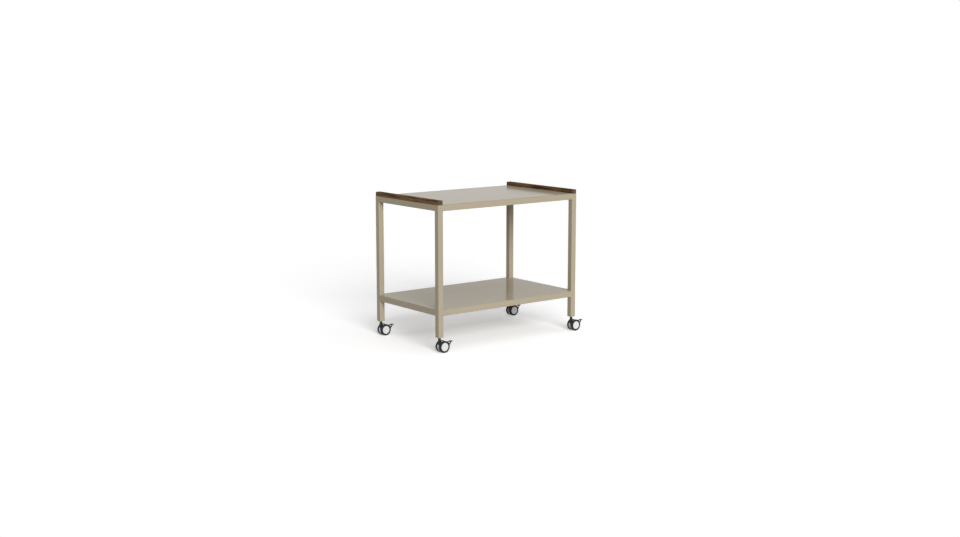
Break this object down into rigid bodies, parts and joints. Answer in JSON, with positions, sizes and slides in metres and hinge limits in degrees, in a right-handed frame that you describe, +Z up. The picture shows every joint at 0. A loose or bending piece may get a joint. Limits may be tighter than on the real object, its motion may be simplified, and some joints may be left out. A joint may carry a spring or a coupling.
{
  "type": "serving trolley",
  "caption": "Two-tier serving trolley with a sand-coloured square-tube steel frame, flat steel shelves, dark walnut end rails and swivel casters with twin wheels and foot brakes",
  "frame": {"origin": "on the floor, under the middle of the welded frame", "axes": "+X along the long side towards the brake pedals, +Y from the front to the back, +Z up"},
  "size_m": [0.9628, 0.5614, 0.758],
  "materials": {
    "powder_coated_steel": "satin sand-coloured powder coat",
    "walnut": "dark oiled walnut, grain along the rail",
    "zinc_plated_steel": "bright zinc plate",
    "black_steel": "black plated steel",
    "black_nylon": "black moulded nylon, fine grain",
    "light_grey_nylon": "light grey moulded nylon",
    "grey_rubber": "dark grey soft rubber"
  },
  "bodies": {
    "frame": {"leg_front_left": "powder_coated_steel", "leg_front_right": "powder_coated_steel", "leg_back_left": "powder_coated_steel", "leg_back_right": "powder_coated_steel", "top_rail_front": "powder_coated_steel", "top_rail_back": "powder_coated_steel", "top_rail_left": "powder_coated_steel", "top_rail_right": "powder_coated_steel", "top_panel": "powder_coated_steel", "top_stiffener": "powder_coated_steel", "lower_rail_front": "powder_coated_steel", "lower_rail_back": "powder_coated_steel", "lower_rail_left": "powder_coated_steel", "lower_rail_right": "powder_coated_steel", "lower_panel": "powder_coated_steel", "lower_stiffener": "powder_coated_steel", "wood_rail_left": "walnut", "wood_rail_right": "walnut", "wood_screws": "zinc_plated_steel", "caster_sockets": "zinc_plated_steel", "caster_stems": "black_steel"},
    "caster_front_left": {"caster_housing_front_left": "black_nylon", "caster_axle_front_left": "zinc_plated_steel", "brake_pin_front_left": "zinc_plated_steel"},
    "wheel_front_left_a": {"wheel_core_front_left_a": "light_grey_nylon", "tyre_front_left_a": "grey_rubber"},
    "wheel_front_left_b": {"wheel_core_front_left_b": "light_grey_nylon", "tyre_front_left_b": "grey_rubber"},
    "brake_front_left": {"brake_pedal_front_left": "black_nylon"},
    "caster_front_right": {"caster_housing_front_right": "black_nylon", "caster_axle_front_right": "zinc_plated_steel", "brake_pin_front_right": "zinc_plated_steel"},
    "wheel_front_right_a": {"wheel_core_front_right_a": "light_grey_nylon", "tyre_front_right_a": "grey_rubber"},
    "wheel_front_right_b": {"wheel_core_front_right_b": "light_grey_nylon", "tyre_front_right_b": "grey_rubber"},
    "brake_front_right": {"brake_pedal_front_right": "black_nylon"},
    "caster_back_left": {"caster_housing_back_left": "black_nylon", "caster_axle_back_left": "zinc_plated_steel", "brake_pin_back_left": "zinc_plated_steel"},
    "wheel_back_left_a": {"wheel_core_back_left_a": "light_grey_nylon", "tyre_back_left_a": "grey_rubber"},
    "wheel_back_left_b": {"wheel_core_back_left_b": "light_grey_nylon", "tyre_back_left_b": "grey_rubber"},
    "brake_back_left": {"brake_pedal_back_left": "black_nylon"},
    "caster_back_right": {"caster_housing_back_right": "black_nylon", "caster_axle_back_right": "zinc_plated_steel", "brake_pin_back_right": "zinc_plated_steel"},
    "wheel_back_right_a": {"wheel_core_back_right_a": "light_grey_nylon", "tyre_back_right_a": "grey_rubber"},
    "wheel_back_right_b": {"wheel_core_back_right_b": "light_grey_nylon", "tyre_back_right_b": "grey_rubber"},
    "brake_back_right": {"brake_pedal_back_right": "black_nylon"}
  },
  "joints": [
    {"name": "swivel_front_left", "type": "hinge", "parent": "frame", "child": "caster_front_left", "pos_m": [-0.435, -0.26, 0.078], "axis": [0, 0, 1], "continuous": true},
    {"name": "roll_front_left_a", "type": "hinge", "parent": "caster_front_left", "child": "wheel_front_left_a", "pos_m": [-0.416, -0.2747, 0.03], "axis": [0, 1, 0], "continuous": true},
    {"name": "roll_front_left_b", "type": "hinge", "parent": "caster_front_left", "child": "wheel_front_left_b", "pos_m": [-0.416, -0.2453, 0.03], "axis": [0, 1, 0], "continuous": true},
    {"name": "brake_front_left_press", "type": "hinge", "parent": "caster_front_left", "child": "brake_front_left", "pos_m": [-0.39901, -0.26, 0.04601], "axis": [0, 1, 0], "range_deg": [0, 16]},
    {"name": "swivel_front_right", "type": "hinge", "parent": "frame", "child": "caster_front_right", "pos_m": [0.435, -0.26, 0.078], "axis": [0, 0, 1], "continuous": true},
    {"name": "roll_front_right_a", "type": "hinge", "parent": "caster_front_right", "child": "wheel_front_right_a", "pos_m": [0.454, -0.2747, 0.03], "axis": [0, 1, 0], "continuous": true},
    {"name": "roll_front_right_b", "type": "hinge", "parent": "caster_front_right", "child": "wheel_front_right_b", "pos_m": [0.454, -0.2453, 0.03], "axis": [0, 1, 0], "continuous": true},
    {"name": "brake_front_right_press", "type": "hinge", "parent": "caster_front_right", "child": "brake_front_right", "pos_m": [0.47099, -0.26, 0.04601], "axis": [0, 1, 0], "range_deg": [0, 16]},
    {"name": "swivel_back_left", "type": "hinge", "parent": "frame", "child": "caster_back_left", "pos_m": [-0.435, 0.26, 0.078], "axis": [0, 0, 1], "continuous": true},
    {"name": "roll_back_left_a", "type": "hinge", "parent": "caster_back_left", "child": "wheel_back_left_a", "pos_m": [-0.416, 0.2453, 0.03], "axis": [0, 1, 0], "continuous": true},
    {"name": "roll_back_left_b", "type": "hinge", "parent": "caster_back_left", "child": "wheel_back_left_b", "pos_m": [-0.416, 0.2747, 0.03], "axis": [0, 1, 0], "continuous": true},
    {"name": "brake_back_left_press", "type": "hinge", "parent": "caster_back_left", "child": "brake_back_left", "pos_m": [-0.39901, 0.26, 0.04601], "axis": [0, 1, 0], "range_deg": [0, 16]},
    {"name": "swivel_back_right", "type": "hinge", "parent": "frame", "child": "caster_back_right", "pos_m": [0.435, 0.26, 0.078], "axis": [0, 0, 1], "continuous": true},
    {"name": "roll_back_right_a", "type": "hinge", "parent": "caster_back_right", "child": "wheel_back_right_a", "pos_m": [0.454, 0.2453, 0.03], "axis": [0, 1, 0], "continuous": true},
    {"name": "roll_back_right_b", "type": "hinge", "parent": "caster_back_right", "child": "wheel_back_right_b", "pos_m": [0.454, 0.2747, 0.03], "axis": [0, 1, 0], "continuous": true},
    {"name": "brake_back_right_press", "type": "hinge", "parent": "caster_back_right", "child": "brake_back_right", "pos_m": [0.47099, 0.26, 0.04601], "axis": [0, 1, 0], "range_deg": [0, 16]}
  ]
}
